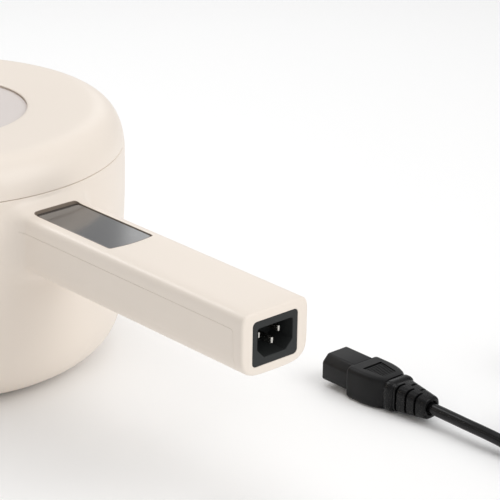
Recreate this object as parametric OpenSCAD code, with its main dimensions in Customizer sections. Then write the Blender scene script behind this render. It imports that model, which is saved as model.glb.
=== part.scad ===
// Electric cooking pot with a lid, one long hollow handle that holds the touch
// panel and the mains inlet, and a loose mains lead.
// Origin: the pot's axis on the worktop. +X runs along the handle, +Z is up.

/* [Body] */
// Outside radius of the body at its widest
body_r = 117; // [100:1:140]
// How much the wall leans in from its widest place to the bottom corner
body_taper = 2.7; // [1:0.1:5]
// Height of the seam between body and lid above the worktop
rim_z = 132; // [112:1:160]
// Radius of the rounded bottom corner
corner_r = 30; // [24:1:36]
// Wall of the plastic shell
shell_t = 2.6; // [2:0.1:3.2]
// How far the feet hold the body off the worktop
foot_h = 2; // [1.6:0.1:4]
// Radius of the opening under the body
base_hole_r = 80; // [70:1:84]

/* [Lid] */
// Height of the lid above the seam
lid_h = 22; // [19:0.5:27]
// Width of the rounded shoulder, seen from above
shoulder_w = 22; // [18:1:26]
// Height of the rounded shoulder
shoulder_h = 31; // [28:1:34]
// Open seam between lid and body
seam_gap = 0.6; // [0.4:0.1:1]
// Wall of the lid's outer shell
lid_t = 2.4; // [2:0.1:3]
// Radius of the shallow round inset in the lid's top
inset_r = 58.7; // [50:0.1:70]
// Depth of that inset
inset_depth = 2.5; // [1.5:0.1:3.5]
// Thickness of the grey disc in the inset
inset_t = 1.2; // [1:0.1:2]
// Radius of the knob's cap
knob_r = 22; // [18:1:26]
// Height of the knob above the grey disc
knob_h = 17; // [14:1:22]

/* [Cooking pot] */
// Gap between the body's outside and the cooking pot's outside
pot_inset = 11; // [10:0.5:14]
// Wall of the cooking pot
pot_t = 1.6; // [1.2:0.1:2.4]
// Floor of the cooking pot
pot_floor_t = 3; // [2.4:0.1:4]
// Outside corner radius at the cooking pot's floor
pot_corner_r = 18; // [14:1:22]
// Width of the cooking pot's rim flange
flange_w = 6; // [5:0.1:7]
// How far the rim flange lies below the seam
flange_drop = 3.4; // [3:0.1:5]

/* [Heater] */
// Radius of the cast heating plate
plate_r = 84; // [76:1:86]
// Thickness of the heating plate
plate_t = 8; // [6:0.5:10]
// Height of the plate's underside above the base cover
plate_lift = 24; // [22:0.5:28]
// Radius of the heating element's ring
element_ring_r = 58; // [50:1:62]
// Radius of the element's tube
element_r = 3.8; // [3:0.1:4.2]
// Radius of the temperature sensor's cap
sensor_r = 13; // [11:0.5:15]
// How far the sensor can be pressed down
sensor_travel = 3; // [2:0.5:4]

/* [Handle] */
// Length of the handle from the body's wall to its end face
handle_len = 188; // [160:1:225]
// Width of the handle
handle_w = 46; // [42:1:55]
// Height of the handle
handle_h = 36; // [34:1:43]
// How far the handle's middle lies below the seam
handle_drop = 26; // [25:1:32]
// Height of the side parting line above the handle's middle
split_up = 8.9; // [6:0.1:10]
// Wall of the handle's shells
handle_t = 2.6; // [2:0.1:3]
// Thickness of the end wall that holds the inlet
end_wall_t = 7; // [6:0.5:9]
// How much wider the handle's root is than the handle, on each side
flare = 8; // [6:0.5:8]

/* [Touch panel] */
// Length of the glass
glass_len = 69; // [60:1:75]
// Width of the glass
glass_w = 30.6; // [26:0.2:34]
// Thickness of the glass
glass_t = 1.5; // [1.2:0.1:2]
// Slit around the glass
glass_gap = 0.25; // [0.1:0.05:0.4]

/* [Mains inlet] */
// Width of the inlet's front
bezel_w = 31; // [28:0.5:32]
// Height of the inlet's front
bezel_h = 25; // [22:0.5:26]
// Width of the inlet's cavity
cavity_w = 24.4; // [24:0.1:25]
// Height of the inlet's cavity
cavity_h = 16.9; // [16.5:0.1:17.2]
// Depth of the inlet's cavity
cavity_depth = 16.5; // [15:0.5:18]

/* [Mains lead] */
// Diameter of the round mains cord
cord_d = 7; // [6:0.1:7.6]
// Length of the connector's front block, which enters the inlet
block_len = 21; // [19:1:25]
// Length of the connector's wide grip
grip_len = 27; // [24:1:32]
// Length of the connector's strain relief with its collar
relief_len = 30; // [26:1:40]
// Height of the connector's grip
grip_h = 20; // [18:0.5:22]
// Radius of the wall plug's body
plug_r = 18.5; // [17:0.5:20]
// Length of the wall plug's body
plug_len = 36; // [30:1:40]

/* [Hidden] */
$fn = 64;

cream = [0.93, 0.89, 0.84];
steel = [0.75, 0.76, 0.77];
black = [0.16, 0.16, 0.16];
brass = [0.80, 0.66, 0.35];
board_green = [0.10, 0.36, 0.24];

slide_gap = 0.4;     // clearance of a sliding fit
screw_gap = 0.1;     // radial clearance around a screw
over = 1;            // how far a cutting shape runs past what it cuts

// Body heights and radii
wall_foot_z = foot_h + corner_r;
base_r = body_r - body_taper;
corner_c = base_r - corner_r;
shoulder_c = body_r - shoulder_w;
top_z = rim_z + lid_h;
shoulder_z = top_z - shoulder_h;
shoulder_power = 2.5;
body_top = rim_z - seam_gap / 2;
lid_bottom = rim_z + seam_gap / 2;

// Base stack, from the cover up
cover_t = 2.4;
cover_top = foot_h + cover_t;
ledge_w = 10;
ledge_t = 2.6;
ledge_top = cover_top + ledge_t;
boss_ring_r = base_hole_r - ledge_w / 2;
boss_r = 4.4;
shield_z = cover_top + 9.6;
shield_t = 0.8;
shield_r = plate_r + 6;
plate_z = foot_h + plate_lift;
pot_z = plate_z + plate_t;
cover_screw_angles = [30, 150, 270];
post_angles = [90, 210, 330];
foot_r = 8;
foot_ring_r = 58;
foot_recess = 1.2;
screw_r = 1.5;
screw_head_r = 2.9;
screw_head_h = 2.2;
plate_screw_r = 2;
element_z = plate_z - 2.2;
leg_angles = [-12, 12];
fuse_r = 2.2;
fuse_x = 36;

// Cooking pot
pot_r = body_r - pot_inset;
flange_z = rim_z - flange_drop - pot_t;
flange_r = pot_r + flange_w;
shell_in_r = body_r - shell_t;
ring_t = 4.7;
ring_gap = 0.3;
ring_top = flange_z - ring_gap;
ring_bottom = ring_top - ring_t;

// Sensor
guide_floor_z = shield_z + shield_t;
guide_floor_t = 1;
guide_top = plate_z - 1;
sensor_top_t = 2;
sensor_wall = 1.5;
sensor_skirt = pot_z - guide_floor_z - guide_floor_t - sensor_travel - 3.2;
bead_r = 4;
bead_h = 3;
spring_wire_r = 0.6;
spring_r = sensor_r - sensor_wall - 3;
spring_turns = 6;

// Handle
handle_z = rim_z - handle_drop;
handle_top = handle_z + handle_h / 2;
handle_bottom = handle_z - handle_h / 2;
handle_end = body_r + handle_len;
cover_start = body_r + 3;
cover_end = handle_end - end_wall_t;
root_x0 = body_r - 5;
root_x1 = body_r + 12;
split_z = handle_z + split_up;
cavity_x0 = body_r + 1;
deck_t = 2.4;
glass_x0 = body_r + 5.25;
glass_drop = 0.5;
glass_top = handle_top - glass_drop;
deck_top = glass_top - glass_t;
deck_bottom = deck_top - deck_t;
board_len = glass_len - 4;
display_len = glass_len - 16;
display_w = glass_w - 10.6;
wire_hole_r = 9;
boss_bottom = split_z - 10;
screw_sink = 5;
handle_boss_r = 3.6;

// Boards
board_t = 1.6;
power_x0 = body_r + 90;
power_len = 49;
power_w = 31;
power_z = handle_z - 6;
standoff_r = 2.4;
screw_places = [for (x = [power_x0 - 7, power_x0 + power_len + 8], y = [-14, 14]) [x, y]];

// Inlet
bezel_t = 2;
inlet_w = 27.4;
inlet_h = 20;
inlet_depth = 24;
pin_t = 2;
pin_h = 4;
pin_side = 7;
pin_up = 2;
live_tip = 4.5;
earth_tip = 2;
tab_len = 8;
chamfer = 4.9;

// Mains lead: the connector lies on the worktop beside the handle
lead_x = 200;
lead_y = 150;
lead_z = grip_h / 2;
block_w = 24;
block_h = 15.8;
block_up = (grip_h - block_h) / 2;
block_key = 4.4;
contact_w = 2.8;
contact_h = 4.8;
contact_depth = 18;
grip_w = 26.4;
collar_x = block_len + grip_len;
collar_len = 7;
collar_w = 19.4;
collar_h = 17.6;
relief_end = collar_x + relief_len;
cord_r = cord_d / 2;
cord_sides = 10;

// Coil: two turns side by side, up to three layers high, on the worktop
tie_t = 0.8;
coil_in_r = 31.5;
coil_out_r = coil_in_r + 2 * cord_d;
coil_h = 3 * cord_d;
coil_x = lead_x + relief_end + 94;
coil_y = lead_y + 4 + coil_out_r - cord_r;

// The cord falls from the strain relief to the worktop and runs into the coil: steps along X,
// sideways and down, the last as a share of the whole fall
run_steps = [[0, 0, 0], [8, 0, 0], [18, 0, 0.01], [28, 0, 0.03], [38, 0.3, 0.07],
    [48, 0.8, 0.16], [58, 1.6, 0.36], [68, 2.6, 0.66], [80, 3.6, 0.93], [94, 4, 1]];
run_points = [for (p = run_steps) [lead_x + relief_end + p[0], lead_y + p[1],
    lead_z - p[2] * (lead_z - tie_t - cord_r)]];

// It leaves the coil's top layer along a tangent
tail_angle = 75;
tail_len = 32;
plug_angle = tail_angle + 90;
top_turn_z = tie_t + coil_h - cord_r;
function tail_point(s) = [
    coil_x + (coil_out_r - cord_r) * cos(tail_angle) + s * cos(plug_angle),
    coil_y + (coil_out_r - cord_r) * sin(tail_angle) + s * sin(plug_angle),
    top_turn_z + (plug_r - top_turn_z) * min(1, s / 16)];
tail_points = [for (s = [0:tail_len / 4:tail_len]) tail_point(s)];
plug_relief_len = 34;
plug_pin_r = 2.4;
plug_pin_len = 19;
plug_pin_side = 9.5;

// Wires from the inlet's tabs along the handle, down inside the wall to the heating element
wire_r = 1.3;
wire_ys = [-pin_side, 0, pin_side];
wire_tab_zs = [handle_z + pin_up, handle_z - pin_up, handle_z + pin_up];
wire_wall_r = shell_in_r - 4.2;
wire_tab_x = handle_end - inlet_depth - tab_len;
wire_route = concat(
    [[wire_tab_x - 9, handle_z - 4], [power_x0 + power_len + 3, power_z - 3.5],
     [power_x0 + 3, power_z - 3.5], [body_r + 73, handle_z - 5], [body_r + 48, handle_z],
     [body_r + 8, handle_z], [body_r - 1, handle_z - 0.5], [wire_wall_r + 1.3, handle_z - 4],
     [wire_wall_r, handle_z - 12], [wire_wall_r, handle_z - 42],
     [corner_c + corner_r - 5, wall_foot_z + 18]],
    arc([corner_c, wall_foot_z], corner_r - 7.7, 0, -90, 5));
leg_point = element_ring_r * [cos(leg_angles[1]), sin(leg_angles[1])];
leg_pin_r = 1.4;
leg_pin_z = shield_z - 5.4;
wire_ends = [for (s = [-1, 0, 1]) [leg_point[0] + (s == 0 ? 5 : leg_pin_r + 0.3),
    s * leg_point[1], s == 0 ? shield_z - wire_r : leg_pin_z + wire_r]];

// ---------- Shapes shared by several pieces ----------

function arc(c, r, a0, a1, n) =
    [for (i = [0:n]) let (a = a0 + (a1 - a0) * i / n) c + r * [cos(a), sin(a)]];

// Quarter of a squarish ellipse from [c.x + w, c.y] up to [c.x, c.y + h]
function shoulder(c, w, h, n) =
    [for (i = [0:n]) let (a = 90 * i / n)
        c + [w * pow(cos(a), 2 / shoulder_power), h * pow(sin(a), 2 / shoulder_power)]];

function above(points, z) = [for (p = points) if (p[1] > z) p];
function below(points, z) = [for (p = points) if (p[1] < z) p];

// Radius of the shoulder's outside at height z
function shoulder_r(z, inset = 0) =
    shoulder_c + (shoulder_w - inset) * pow(1 - pow((z - shoulder_z)
        / (shoulder_h - inset), shoulder_power), 1 / shoulder_power);

function signed_pow(v, p) = sign(v) * pow(abs(v), p);

// The handle's section: nearly flat on top with tight corners, rounder below
function handle_outline(inset) =
    [for (i = [0:47]) let (a = i * 7.5, p = sin(a) >= 0 ? 8 : 4)
        [(handle_w / 2 - inset) * signed_pow(cos(a), 2 / p),
         (handle_h / 2 - inset) * signed_pow(sin(a), 2 / p)]];

module spin(points) rotate_extrude() polygon(points);

// A section in Y and Z, drawn about the handle's middle and run along X
module along_x(x0, x1, z = handle_z)
    translate([x0, 0, z]) rotate([90, 0, 90]) linear_extrude(x1 - x0) children();

module ring_of(angles, r) for (a = angles) rotate(a) translate([r, 0, 0]) children();

module rounded_rect(w, h, r) {
    square([w - 2 * r, h], center = true);
    square([w, h - 2 * r], center = true);
    for (x = [-1, 1], y = [-1, 1]) translate([x * (w / 2 - r), y * (h / 2 - r)]) circle(r);
}

// A rectangle with its two lower corners cut off, as mains connectors of this size have
module keyed_rect(w, h, cut) polygon([[-w / 2, h / 2], [-w / 2, cut - h / 2],
    [cut - w / 2, -h / 2], [w / 2 - cut, -h / 2], [w / 2, cut - h / 2], [w / 2, h / 2]]);

// A screw pointing up: the head starts at z = 0
module screw(r, head_r, head_h, len) {
    difference() {
        cylinder(r = head_r, h = head_h);
        translate([0, 0, -over]) cylinder(r = r * 0.8, h = over + head_h * 0.6, $fn = 6);
    }
    translate([0, 0, head_h]) cylinder(r = r, h = len);
}

// ---------- Tubes swept along a route ----------

function unit(v) = v / norm(v);
function heading(p, i) = unit(p[min(i + 1, len(p) - 1)] - p[max(i - 1, 0)]);
function side_of(t) = unit(cross(t, abs(t[2]) > 0.9 ? [0, 1, 0] : [0, 0, 1]));
function tube_ring(p, t, r, n) = let (u = side_of(t), v = cross(t, u))
    [for (k = [0:n - 1]) p + r * (u * cos(360 * k / n) + v * sin(360 * k / n))];
function tube_rings(path, r, n) =
    [for (i = [0:len(path) - 1]) each tube_ring(path[i], heading(path, i), r, n)];
function tube_faces(m, n) = concat(
    [[for (k = [0:n - 1]) k]],
    [for (i = [0:m - 2], k = [0:n - 1]) let (a = i * n, j = (k + 1) % n)
        [a + k, a + n + k, a + n + j, a + j]],
    [[for (k = [n - 1:-1:0]) (m - 1) * n + k]]);

module tube(path, r, n)
    polyhedron(points = tube_rings(path, r, n), faces = tube_faces(len(path), n));

// ---------- Body ----------

module body_solid() spin(concat(
    [[0, foot_h]],
    arc([corner_c, wall_foot_z], corner_r, -90, 0, 10),
    [[body_r - body_taper * 0.3, (wall_foot_z + rim_z) / 2], [body_r, shoulder_z - 11]],
    below(shoulder([shoulder_c, shoulder_z], shoulder_w, shoulder_h, 16), body_top),
    [[shoulder_r(body_top), body_top], [0, body_top]]));

module body_hollow() {
    spin(concat(
        [[0, ledge_top]],
        arc([corner_c, wall_foot_z], corner_r - shell_t,
            -asin((wall_foot_z - ledge_top) / (corner_r - shell_t)), 0, 10),
        [[shell_in_r, (wall_foot_z + rim_z) / 2], [shell_in_r, body_top + over],
         [0, body_top + over]]));
    translate([0, 0, foot_h - over]) cylinder(r = base_hole_r, h = cover_t + over);
    cylinder(r = base_hole_r - ledge_w, h = rim_z);
}

module handle_root() intersection() {
    hull() {
        along_x(root_x0, root_x0 + 0.5) polygon(handle_outline(-flare));
        along_x(root_x1, root_x1 + 0.5) polygon(handle_outline(0));
    }
    translate([0, -handle_w, 0]) cube([handle_end, 2 * handle_w, body_top]);
}

module handle_solid() {
    handle_root();
    along_x(root_x1, handle_end) polygon(handle_outline(0));
}

module cover_zone(gap = 0) translate([cover_start - gap, -handle_w, 0])
    cube([cover_end - cover_start + 2 * gap, 2 * handle_w, split_z + gap]);

module handle_cavity() along_x(cavity_x0, cover_end) polygon(handle_outline(handle_t));

module outer_shell() color(cream) {
    difference() {
        union() {
            difference() {
                body_solid();
                body_hollow();
            }
            difference() {
                handle_solid();
                cover_zone();
                handle_cavity();
                cylinder(r = shell_in_r + shell_t / 2, h = rim_z);
            }
            // deck under the glass
            translate([cavity_x0, -handle_w / 2 + 1, deck_bottom])
                cube([glass_x0 + glass_len - cavity_x0 + 4, handle_w - 2, deck_t]);
            for (p = screw_places) translate([p[0], p[1], boss_bottom])
                cylinder(r = handle_boss_r, h = handle_top - 1 - boss_bottom);
            ring_of(cover_screw_angles, boss_ring_r)
                translate([0, 0, cover_top]) cylinder(r = boss_r, h = shield_z - cover_top - 1);
            ring_of(post_angles, boss_ring_r)
                translate([0, 0, cover_top]) cylinder(r = boss_r, h = shield_z - cover_top);
            // ledge that carries the seat ring
            spin([[shell_in_r - 3.4, ring_bottom], [shell_in_r + 0.5, ring_bottom],
                  [shell_in_r + 0.5, ring_bottom - 5]]);
        }
        // pocket for the glass, window for the display
        translate([glass_x0 - glass_gap, -glass_w / 2 - glass_gap, deck_top])
            cube([glass_len + 2 * glass_gap, glass_w + 2 * glass_gap, 20]);
        translate([glass_x0 + 7, -display_w / 2 - 0.4, deck_bottom - over])
            cube([display_len + 2, display_w + 0.8, 20]);
        // openings in the end wall
        along_x(handle_end - bezel_t, handle_end + over)
            rounded_rect(bezel_w + 0.2, bezel_h + 0.2, 2.6);
        along_x(cover_end - over, handle_end)
            rounded_rect(inlet_w + 0.2, inlet_h + 0.2, 2.1);
        // way for the wires into the handle
        along_x(body_r - 12, cavity_x0 + 2) circle(wire_hole_r);
        for (p = screw_places) translate([p[0], p[1], boss_bottom - over])
            cylinder(r = screw_r + screw_gap, h = over + 14);
        ring_of(cover_screw_angles, boss_ring_r)
            translate([0, 0, cover_top - over]) cylinder(r = screw_r + screw_gap, h = 9);
        ring_of(post_angles, boss_ring_r) {
            translate([0, 0, cover_top - over]) cylinder(r = plate_screw_r + screw_gap, h = 20);
            translate([0, 0, cover_top - over]) cylinder(r = 3.7, h = over + 3.4);
        }
    }
}

module pot_seat_ring() color([0.80, 0.78, 0.75]) spin([
    [pot_r + 1.6, ring_bottom - 6], [shell_in_r - 3.6, ring_bottom - 6],
    [shell_in_r - 3.6, ring_bottom], [shell_in_r - 0.2, ring_bottom],
    [shell_in_r - 0.2, ring_top], [pot_r + 1.6, ring_top]]);

module base_cover() color([0.86, 0.82, 0.77]) difference() {
    translate([0, 0, foot_h]) cylinder(r = base_hole_r - 0.3, h = cover_t);
    ring_of([45:90:315], foot_ring_r)
        translate([0, 0, foot_h - over]) cylinder(r = foot_r + 0.1, h = over + foot_recess);
    ring_of(cover_screw_angles, boss_ring_r) {
        translate([0, 0, foot_h - over]) cylinder(r = screw_r + 0.2, h = 9);
        translate([0, 0, foot_h - over]) cylinder(r = screw_head_r + 0.2, h = over + 1.4);
    }
    for (a = [0:30:330]) rotate(a) translate([24, -1.5, 0]) cube([18, 3, 9]);
}

module base_screws() color(steel) ring_of(cover_screw_angles, boss_ring_r)
    translate([0, 0, foot_h + 1.4 - 1.2]) screw(screw_r, screw_head_r, 1.2, 7);

module feet() color([0.25, 0.25, 0.25]) ring_of([45:90:315], foot_ring_r) spin([
    [0, 0], [foot_r - 1, 0], [foot_r, 1], [foot_r, foot_h + foot_recess],
    [0, foot_h + foot_recess]]);

// ---------- Heater ----------

module heat_shield() color(steel) difference() {
    spin([[0, shield_z], [shield_r, shield_z], [shield_r + 1, shield_z + 1],
        [shield_r + 1, pot_z - 3], [shield_r + 1 - shield_t, pot_z - 3],
        [shield_r + 1 - shield_t, shield_z + 1.2], [shield_r - 0.4, shield_z + shield_t],
        [0, shield_z + shield_t]]);
    ring_of(post_angles, boss_ring_r) cylinder(r = plate_screw_r + screw_gap, h = 40);
    ring_of(leg_angles, element_ring_r) cylinder(r = element_r + 1.6, h = 40);
    translate([fuse_x, 0, 0]) cylinder(r = 4, h = 40);
}

module shield_posts() color(steel) ring_of(post_angles, boss_ring_r) difference() {
    translate([0, 0, shield_z + shield_t]) cylinder(r = 4.4, h = plate_z - shield_z - shield_t);
    cylinder(r = plate_screw_r + screw_gap, h = 40);
}

module heating_plate() color([0.70, 0.71, 0.72]) difference() {
    union() {
        translate([0, 0, plate_z]) cylinder(r = plate_r, h = plate_t);
        // rib that the element is cast into
        spin([[element_ring_r - 7, plate_z + over], [element_ring_r - 6, plate_z - 7],
            [element_ring_r + 6, plate_z - 7], [element_ring_r + 7, plate_z + over]]);
    }
    cylinder(r = sensor_r + 3, h = 60);
    rotate_extrude() element_section(0.15);
    ring_of(leg_angles, element_ring_r) cylinder(r = element_r + 0.15, h = element_z);
    ring_of(post_angles, boss_ring_r)
        cylinder(r = plate_screw_r + 0.05, h = plate_z + plate_t - 2);
}

module plate_screws() color(steel) ring_of(post_angles, boss_ring_r)
    translate([0, 0, cover_top + 0.6])
        screw(plate_screw_r, 3.5, 2.8, plate_z + plate_t - 3 - cover_top - 3.4);

// The element's tube is pressed to eight flats where it is cast in
module element_section(gap = 0) translate([element_ring_r, element_z]) rotate(22.5)
    circle(element_r + gap, $fn = 8);

module heating_element() color([0.55, 0.50, 0.45]) {
    rotate(leg_angles[1]) rotate_extrude(angle = 360 - 2 * leg_angles[1]) element_section();
    ring_of(leg_angles, element_ring_r) {
        translate([0, 0, shield_z - 2.4])
            cylinder(r = element_r, h = element_z - shield_z + 2.4);
        translate([0, 0, leg_pin_z]) cylinder(r = leg_pin_r, h = 4);
    }
}

module thermal_fuse() color([0.92, 0.92, 0.90]) translate([fuse_x, 0, plate_z - fuse_r])
    rotate([90, 0, 0]) cylinder(r = fuse_r, h = 15, center = true);

// ---------- Temperature sensor ----------

module sensor_guide() color(steel) spin([
    [0, guide_floor_z], [sensor_r + 4, guide_floor_z],
    [sensor_r + 4, guide_floor_z + guide_floor_t],
    [sensor_r + slide_gap + 1.4, guide_floor_z + guide_floor_t],
    [sensor_r + slide_gap + 1.4, guide_top], [sensor_r + slide_gap, guide_top],
    [sensor_r + slide_gap, guide_floor_z + guide_floor_t],
    [0, guide_floor_z + guide_floor_t]]);

module sensor_cap() color([0.82, 0.83, 0.84]) spin([
    [0, pot_z - sensor_top_t], [sensor_r - sensor_wall, pot_z - sensor_top_t],
    [sensor_r - sensor_wall, pot_z - sensor_skirt], [sensor_r, pot_z - sensor_skirt],
    [sensor_r, pot_z - 0.6], [sensor_r - 0.6, pot_z], [0, pot_z]]);

module sensor_bead() color([0.20, 0.20, 0.22])
    translate([0, 0, pot_z - sensor_top_t - bead_h]) cylinder(r = bead_r, h = bead_h);

module sensor_spring() color(steel) {
    z0 = guide_floor_z + guide_floor_t + spring_wire_r;
    z1 = pot_z - sensor_top_t - spring_wire_r;
    steps = spring_turns * 10;
    tube([for (i = [0:steps]) [spring_r * cos(36 * i), spring_r * sin(36 * i),
        z0 + (z1 - z0) * i / steps]], spring_wire_r, 6);
}

// ---------- Handle ----------

module handle_lower_cover() color(cream) difference() {
    union() {
        intersection() {
            difference() {
                handle_solid();
                handle_cavity();
            }
            cover_zone();
        }
        for (p = screw_places) translate([p[0], p[1], handle_bottom + handle_t])
            cylinder(r = handle_boss_r + 0.8, h = boss_bottom - 0.2 - handle_bottom - handle_t);
        for (x = [power_x0 + 4, power_x0 + power_len - 4], y = [-11, 11])
            translate([x, y, handle_bottom + 2])
                cylinder(r = standoff_r, h = power_z - handle_bottom - 2);
    }
    cylinder(r = body_r + 0.2, h = rim_z);
    for (p = screw_places) translate([p[0], p[1], 0]) {
        cylinder(r = screw_r + 0.2, h = split_z);
        cylinder(r = screw_head_r + 0.3, h = handle_bottom + screw_sink);
    }
}

module handle_screws() color(steel) for (p = screw_places)
    translate([p[0], p[1], handle_bottom + screw_sink - screw_head_h])
        screw(screw_r, screw_head_r, screw_head_h, boss_bottom + 10 - handle_bottom - screw_sink);

module touch_glass() color([0.10, 0.10, 0.11])
    translate([glass_x0 + glass_len / 2, 0, deck_top]) linear_extrude(glass_t)
        rounded_rect(glass_len, glass_w, 2);

module display_module() color([0.30, 0.30, 0.32])
    translate([glass_x0 + 8, -display_w / 2, deck_bottom])
        cube([display_len, display_w, deck_t - 0.2]);

module control_board() color(board_green)
    translate([glass_x0 + 2, 0.8 - glass_w / 2, deck_bottom - board_t])
        cube([board_len, glass_w - 1.6, board_t]);

module control_chips() color(black) {
    top = deck_bottom - board_t;
    translate([glass_x0 + 20, -5, top - 1.4]) cube([10, 10, 1.4]);
    translate([glass_x0 + 40, -4, top - 1.8]) cube([6, 8, 1.8]);
    for (y = [-9, 0, 9]) translate([glass_x0 + 55, y - 1.5, top - 1]) cube([5, 3, 1]);
}

module power_board() color(board_green)
    translate([power_x0, -power_w / 2, power_z]) cube([power_len, power_w, board_t]);

module power_relay() color([0.15, 0.30, 0.62])
    translate([power_x0 + 26, -8, power_z + board_t]) cube([19, 15.5, 13]);

module power_capacitors() color([0.12, 0.12, 0.30]) {
    translate([power_x0 + 12, -8, power_z + board_t]) cylinder(r = 5, h = 12);
    translate([power_x0 + 12, 5, power_z + board_t]) cylinder(r = 4, h = 11);
    translate([power_x0 + 20, 7, power_z + board_t]) cylinder(r = 2.5, h = 7);
}

// ---------- Mains inlet ----------

module blades(x0, live_x1, earth_x1, w, h) {
    for (y = [-pin_side, pin_side]) translate([x0, y - w / 2, handle_z + pin_up - h / 2])
        cube([live_x1 - x0, w, h]);
    translate([x0, -w / 2, handle_z - pin_up - h / 2]) cube([earth_x1 - x0, w, h]);
}

module inlet_body() color(black) difference() {
    union() {
        along_x(handle_end - bezel_t, handle_end) rounded_rect(bezel_w, bezel_h, 2.5);
        along_x(handle_end - inlet_depth, handle_end - bezel_t)
            rounded_rect(inlet_w, inlet_h, 2);
    }
    along_x(handle_end - cavity_depth, handle_end + over)
        keyed_rect(cavity_w, cavity_h, chamfer);
    blades(handle_end - inlet_depth - over, handle_end, handle_end, pin_t, pin_h);
}

module inlet_pins() color(steel) blades(handle_end - inlet_depth - tab_len,
    handle_end - live_tip, handle_end - earth_tip, pin_t, pin_h);

module wire_harness() for (i = [0:2])
    color([[0.45, 0.28, 0.18], [0.75, 0.75, 0.30], [0.20, 0.40, 0.75]][i])
        tube(concat([for (s = [0, 3]) [wire_tab_x - s, wire_ys[i], wire_tab_zs[i]]],
            [for (p = wire_route) [p[0], wire_ys[i], p[1]]], [wire_ends[i]]), wire_r, 8);

// ---------- Cooking pot ----------

module inner_pot() color([0.24, 0.24, 0.25]) spin(concat(
    [[0, pot_z]],
    arc([pot_r - pot_corner_r, pot_z + pot_corner_r], pot_corner_r, -90, 0, 8),
    [[pot_r, flange_z], [flange_r, flange_z], [flange_r, flange_z + pot_t],
     [pot_r - pot_t, flange_z + pot_t]],
    arc([pot_r - pot_corner_r, pot_z + pot_corner_r], pot_corner_r - pot_t, 0, -80, 8),
    [[pot_r - pot_corner_r, pot_z + pot_floor_t], [0, pot_z + pot_floor_t]]));

// ---------- Lid ----------

inset_floor = top_z - inset_depth;
seat_z = inset_floor - inset_t;
lid_under = seat_z - lid_t;
seal_z = flange_z + pot_t;
seal_t = 2.6;
liner_t = 0.8;
liner_flange_z = seal_z + seal_t;
liner_z = lid_bottom + 5.5;
liner_screw_r = 84;
vent_r = 78;
vent_hole_r = 4.2;
knob_screw_r = 2;

module lid_shell() color(cream) difference() {
    union() {
        spin(concat(
            [[shoulder_r(lid_bottom), lid_bottom]],
            above(shoulder([shoulder_c, shoulder_z], shoulder_w, shoulder_h, 24), lid_bottom),
            [[inset_r + 1.6, top_z - 0.4], [inset_r + 0.5, top_z - 0.8], [inset_r, top_z - 1.6],
             [inset_r, seat_z], [0, seat_z], [0, lid_under], [inset_r + 1.2, lid_under],
             [inset_r + 2.2, top_z - lid_t]],
            [for (i = [12:-1:0]) let (z = lid_bottom + (top_z - lid_t - lid_bottom)
                    * sin(90 * i / 12)) if (i < 12) [shoulder_r(z, lid_t), z]
                else [shoulder_c, z]]));
        ring_of([90, 210, 330], liner_screw_r) translate([0, 0, liner_z + liner_t])
            cylinder(r = 3.6, h = top_z - 1 - liner_z - liner_t);
    }
    translate([0, 0, lid_under - over]) cylinder(r = knob_screw_r + screw_gap, h = 9);
    translate([-vent_r, 0, lid_bottom]) cylinder(r = vent_hole_r + 1.4, h = lid_h + over);
    ring_of([90, 210, 330], liner_screw_r) translate([0, 0, liner_z])
        cylinder(r = screw_r + screw_gap, h = 9);
}

module lid_inset_disc() color([0.84, 0.81, 0.79]) difference() {
    translate([0, 0, seat_z]) cylinder(r = inset_r - 0.15, h = inset_t);
    cylinder(r = knob_screw_r + screw_gap, h = top_z);
}

module lid_liner() color([0.78, 0.79, 0.80]) difference() {
    spin([[0, liner_z], [pot_r - 12, liner_z], [pot_r - 5, liner_flange_z],
        [flange_r, liner_flange_z], [flange_r, liner_flange_z + liner_t],
        [pot_r - 4.4, liner_flange_z + liner_t], [pot_r - 11.5, liner_z + liner_t],
        [0, liner_z + liner_t]]);
    ring_of([90, 210, 330], liner_screw_r) cylinder(r = screw_r + screw_gap, h = top_z);
    translate([-vent_r, 0, 0]) cylinder(r = 3, h = top_z);
}

module liner_screws() color(steel) ring_of([90, 210, 330], liner_screw_r)
    translate([0, 0, liner_z - screw_head_h]) screw(screw_r, screw_head_r, screw_head_h, 8);

module lid_seal() color([0.85, 0.85, 0.84]) spin([
    [pot_r - 1, seal_z], [flange_r - 0.6, seal_z], [flange_r - 0.2, seal_z + 0.8],
    [flange_r - 0.2, liner_flange_z], [pot_r - 3.4, liner_flange_z],
    [pot_r - 3.4, seal_z + 1]]);

module lid_knob() color(cream) difference() {
    spin(concat([[0, inset_floor], [knob_r * 0.6, inset_floor], [knob_r * 0.5, inset_floor + 2],
        [knob_r * 0.46, inset_floor + 6], [knob_r * 0.6, inset_floor + knob_h - 6.5],
        [knob_r - 1.2, inset_floor + knob_h - 5.2]],
        arc([knob_r - 3, inset_floor + knob_h - 3], 3, -20, 90, 6),
        [[0, inset_floor + knob_h]]));
    translate([0, 0, inset_floor - over]) cylinder(r = knob_screw_r + 0.05, h = 11);
}

module knob_screw() color(steel) translate([0, 0, lid_under - 1 - screw_head_h])
    screw(knob_screw_r, 3.6, screw_head_h, inset_floor + 9 - lid_under + 1);

module knob_washer() color(steel) difference() {
    translate([0, 0, lid_under - 1]) cylinder(r = 6, h = 1);
    translate([0, 0, lid_under - 2]) cylinder(r = knob_screw_r + screw_gap, h = 3);
}

module vent_grommet() color([0.85, 0.85, 0.84]) translate([-vent_r, 0, 0]) spin([
    [vent_hole_r, liner_z + liner_t], [vent_hole_r + 3, liner_z + liner_t],
    [vent_hole_r + 3, liner_z + liner_t + 2], [vent_hole_r + 1.2, liner_z + liner_t + 3],
    [vent_hole_r + 1.2, top_z], [vent_hole_r, top_z]]);

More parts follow.
